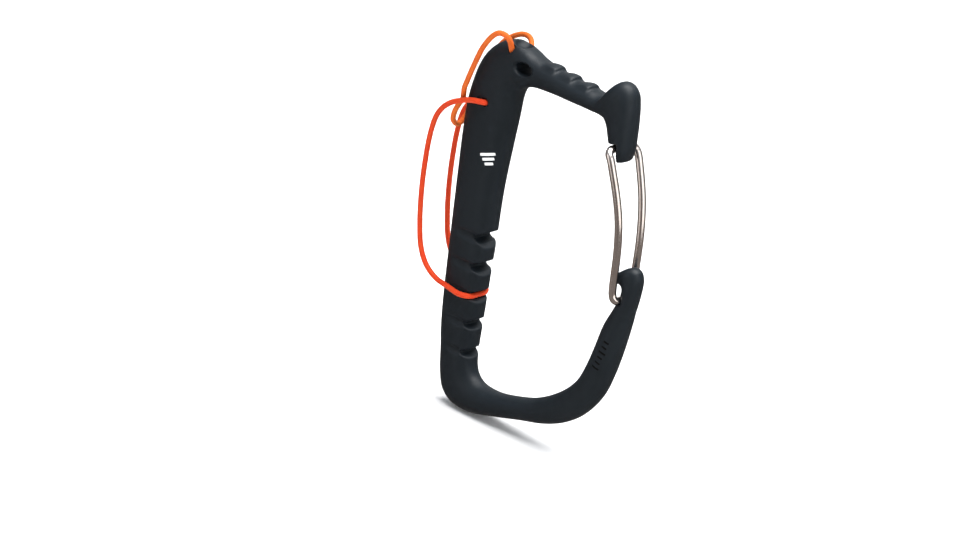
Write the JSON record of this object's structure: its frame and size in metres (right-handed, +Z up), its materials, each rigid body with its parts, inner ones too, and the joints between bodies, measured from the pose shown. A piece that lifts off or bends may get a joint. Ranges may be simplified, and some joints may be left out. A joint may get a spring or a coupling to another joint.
{
  "type": "tool-holder carabiner",
  "caption": "Moulded D-shaped tool holder that sits upright on a harness belt, tied on with elastic cord, with a sprung wire gate over a deep ring for hanging gear.",
  "frame": {"origin": "on the flat outer face of the spine, at mid thickness, where the holder rests against the belt", "axes": "+X from the belt towards the gate, +Y across the thickness, +Z up along the spine"},
  "size_m": [0.1145, 0.0199, 0.1666],
  "materials": {
    "frame": "charcoal black moulded polyamide, fine satin grain, softly rounded edges",
    "gate_wire": "bright drawn stainless spring wire with faint lengthwise draw marks",
    "elastic": "braided orange textile sheath over a rubber core, slightly fuzzy"
  },
  "bodies": {
    "frame": {"body": "frame", "belt_elastic": "elastic", "top_elastic": "elastic"},
    "gate": {"wire_gate": "gate_wire"}
  },
  "joints": [
    {"name": "gate_hinge", "type": "hinge", "parent": "frame", "child": "gate", "pos_m": [0.0916, 0, -0.0139], "axis": [0, -1, 0], "range_deg": [0, 34], "stiffness_Nm_per_rad": 0.4, "springref_deg": -17.19}
  ]
}
